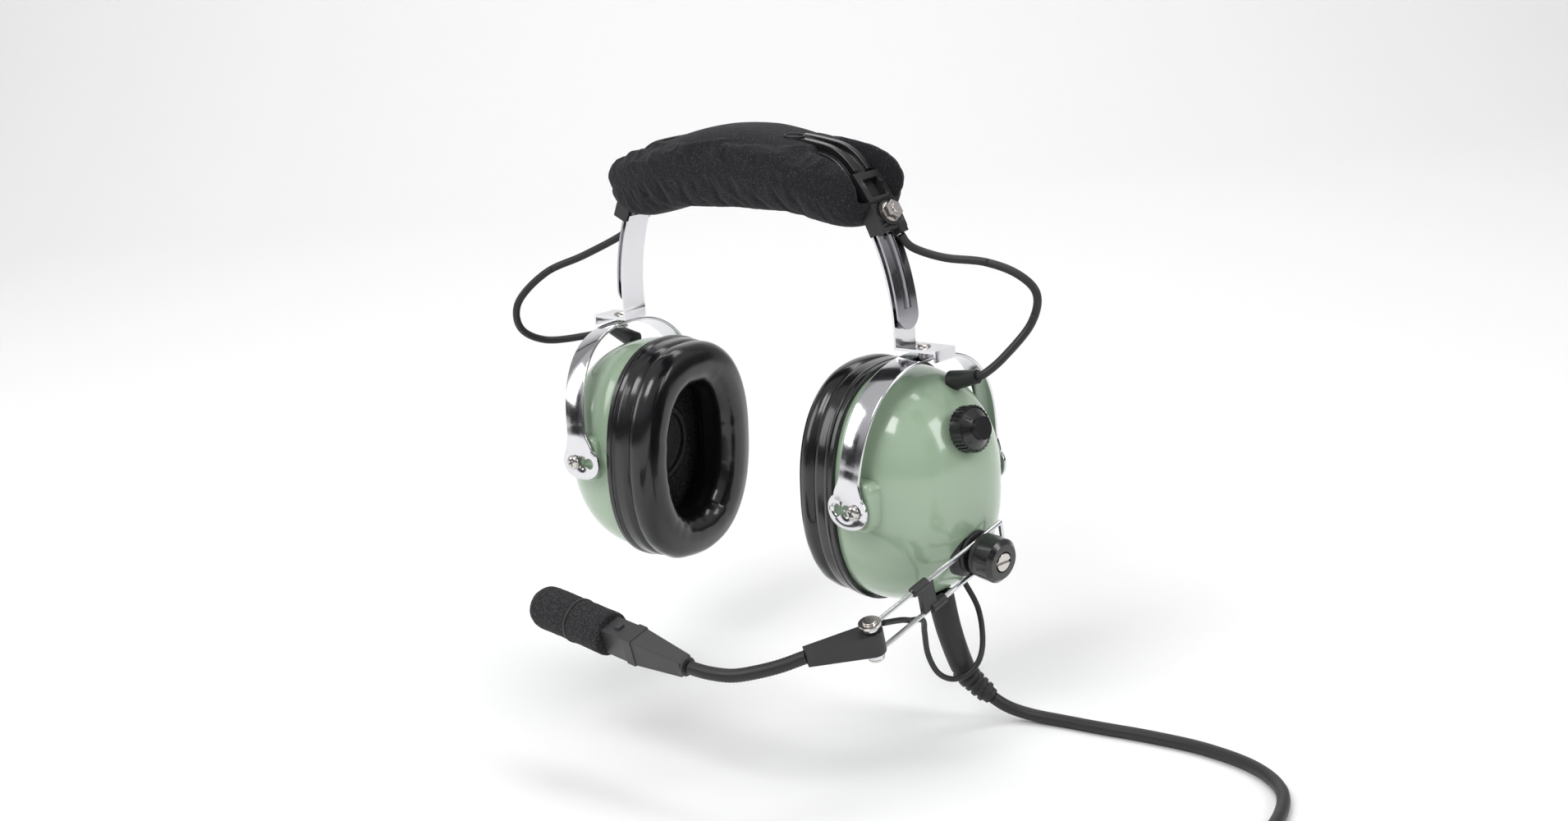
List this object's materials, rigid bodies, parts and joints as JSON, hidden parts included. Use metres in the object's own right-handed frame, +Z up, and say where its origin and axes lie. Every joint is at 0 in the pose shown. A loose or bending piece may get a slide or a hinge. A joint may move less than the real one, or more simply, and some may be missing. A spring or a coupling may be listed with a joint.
{
  "type": "aviation headset",
  "caption": "Over-ear aviation headset: two domed cups in pivoting yokes on a padded spring headband with sliding straps, a wire microphone boom and a coiled main cord with two plugs.",
  "frame": {"origin": "middle of the wearer's head: halfway between the two cups, at the height of their pivot screws", "axes": "+Z up along the head, -Y towards the wearer's front, +X towards the wearer's left, where the microphone boom is"},
  "size_m": [0.5445, 0.1654, 0.253],
  "materials": {
    "pad_cloth": "matte knit",
    "spring_steel": "satin",
    "bright_chrome": "polished",
    "bright_hardware": "polished",
    "black_plastic": "satin",
    "gloss_black": "gloss",
    "sage_shell": "gloss",
    "black_vinyl": "gloss",
    "cord_jacket": "satin",
    "grey_foam": "matte",
    "foam_black": "matte",
    "speaker_grey": "satin",
    "mic_grey": "satin",
    "plug_brass": "polished"
  },
  "bodies": {
    "cup_right": {"dome_right": "sage_shell", "seal_plate_right": "gloss_black", "ear_seal_right": "black_vinyl", "speaker_right": "speaker_grey", "foam_liner_right": "grey_foam", "pivot_screws_right": "bright_hardware", "cord_relief_right": "cord_jacket", "volume_pot": "black_plastic", "boom_base": "black_plastic", "boom_stud": "bright_hardware", "main_relief": "cord_jacket", "main_cord": "cord_jacket", "main_coil": "cord_jacket", "coil_tie": "black_plastic", "cord_fork": "cord_jacket", "phones_tail": "cord_jacket", "mic_tail": "cord_jacket", "phones_plug_grip": "cord_jacket", "phones_plug_shank": "plug_brass", "mic_plug_grip": "cord_jacket", "mic_plug_shank": "plug_brass"},
    "yoke_right": {"yoke_right": "bright_chrome"},
    "slider_right": {"inner_strap_right": "bright_chrome", "slotted_strap_right": "bright_chrome", "foot_rivet_right": "bright_hardware"},
    "headband": {"headband_spring": "spring_steel", "head_pad": "pad_cloth", "cord_channel": "black_plastic", "end_bracket_left": "black_plastic", "end_bracket_right": "black_plastic", "clamp_bolts": "bright_hardware", "clamp_nuts": "bright_hardware", "crossover_right": "cord_jacket", "crossover_left": "cord_jacket"},
    "slider_left": {"inner_strap_left": "bright_chrome", "slotted_strap_left": "bright_chrome", "foot_rivet_left": "bright_hardware"},
    "yoke_left": {"yoke_left": "bright_chrome"},
    "cup_left": {"dome_left": "sage_shell", "seal_plate_left": "gloss_black", "ear_seal_left": "black_vinyl", "speaker_left": "speaker_grey", "foam_liner_left": "grey_foam", "pivot_screws_left": "bright_hardware", "cord_relief_left": "cord_jacket"},
    "volume_knob": {"volume_knob": "gloss_black"},
    "boom_clamp": {"boom_swivel": "black_plastic"},
    "boom_slide": {"boom_wires": "bright_chrome", "lead_clip": "black_plastic", "bracket_bolt": "bright_hardware"},
    "boom_knob": {"boom_knob": "gloss_black", "boom_screw": "bright_hardware"},
    "mic_arm": {"mic_bracket": "black_plastic", "gooseneck": "cord_jacket", "mic_housing": "mic_grey", "mic_capsule": "mic_grey", "foam_muff": "foam_black", "muff_ring": "cord_jacket", "mic_lead": "cord_jacket"}
  },
  "joints": [
    {"name": "cup_tilt_right", "type": "hinge", "parent": "cup_right", "child": "yoke_right", "pos_m": [0.086, 0.00016, 0], "axis": [0.0523, 0.9986, 0], "range_deg": [-10, 10], "deforming": ["crossover_right"]},
    {"name": "yoke_swivel_right", "type": "hinge", "parent": "yoke_right", "child": "slider_right", "pos_m": [0.089, 0, 0.0564], "axis": [0, 0, 1], "range_deg": [-12, 12], "deforming": ["crossover_right"]},
    {"name": "strap_slide_right", "type": "hinge", "parent": "slider_right", "child": "headband", "pos_m": [-0.011, 0, 0.066], "axis": [0, 1, 0], "range_deg": [-4, 8], "deforming": ["crossover_right"]},
    {"name": "strap_slide_left", "type": "hinge", "parent": "headband", "child": "slider_left", "pos_m": [0.011, 0, 0.066], "axis": [0, 1, 0], "range_deg": [-4, 8], "deforming": ["crossover_left"]},
    {"name": "yoke_swivel_left", "type": "hinge", "parent": "slider_left", "child": "yoke_left", "pos_m": [-0.089, 0, 0.0564], "axis": [0, 0, 1], "range_deg": [-12, 12], "deforming": ["crossover_left"]},
    {"name": "cup_tilt_left", "type": "hinge", "parent": "yoke_left", "child": "cup_left", "pos_m": [-0.08601, 0.00026, 0], "axis": [-0.0872, 0.9962, 0], "range_deg": [-10, 8], "deforming": ["crossover_left"]},
    {"name": "volume_turn", "type": "hinge", "parent": "cup_right", "child": "volume_knob", "pos_m": [0.10694, -0.00244, 0.02694], "axis": [0.9803, -0.0514, 0.1908], "range_deg": [0, 300]},
    {"name": "boom_rotate", "type": "hinge", "parent": "cup_right", "child": "boom_clamp", "pos_m": [0.1058, -0.00088, -0.02307], "axis": [0.9889, -0.0518, -0.1392], "range_deg": [-70, 15], "deforming": ["mic_lead"]},
    {"name": "boom_reach", "type": "slide", "parent": "boom_clamp", "child": "boom_slide", "axis": [-0.0897, -0.9554, -0.2813], "range_m": [-0.014, 0.004], "deforming": ["mic_lead"]},
    {"name": "mic_swing", "type": "hinge", "parent": "boom_slide", "child": "mic_arm", "pos_m": [0.1069, -0.06325, -0.0423], "axis": [0.1184, -0.2906, 0.9495], "range_deg": [-25, 25], "deforming": ["mic_lead"]},
    {"name": "boom_clamp_knob", "type": "hinge", "parent": "cup_right", "child": "boom_knob", "pos_m": [0.1058, -0.00088, -0.02307], "axis": [0.9889, -0.0518, -0.1392], "range_deg": [-180, 180]}
  ]
}
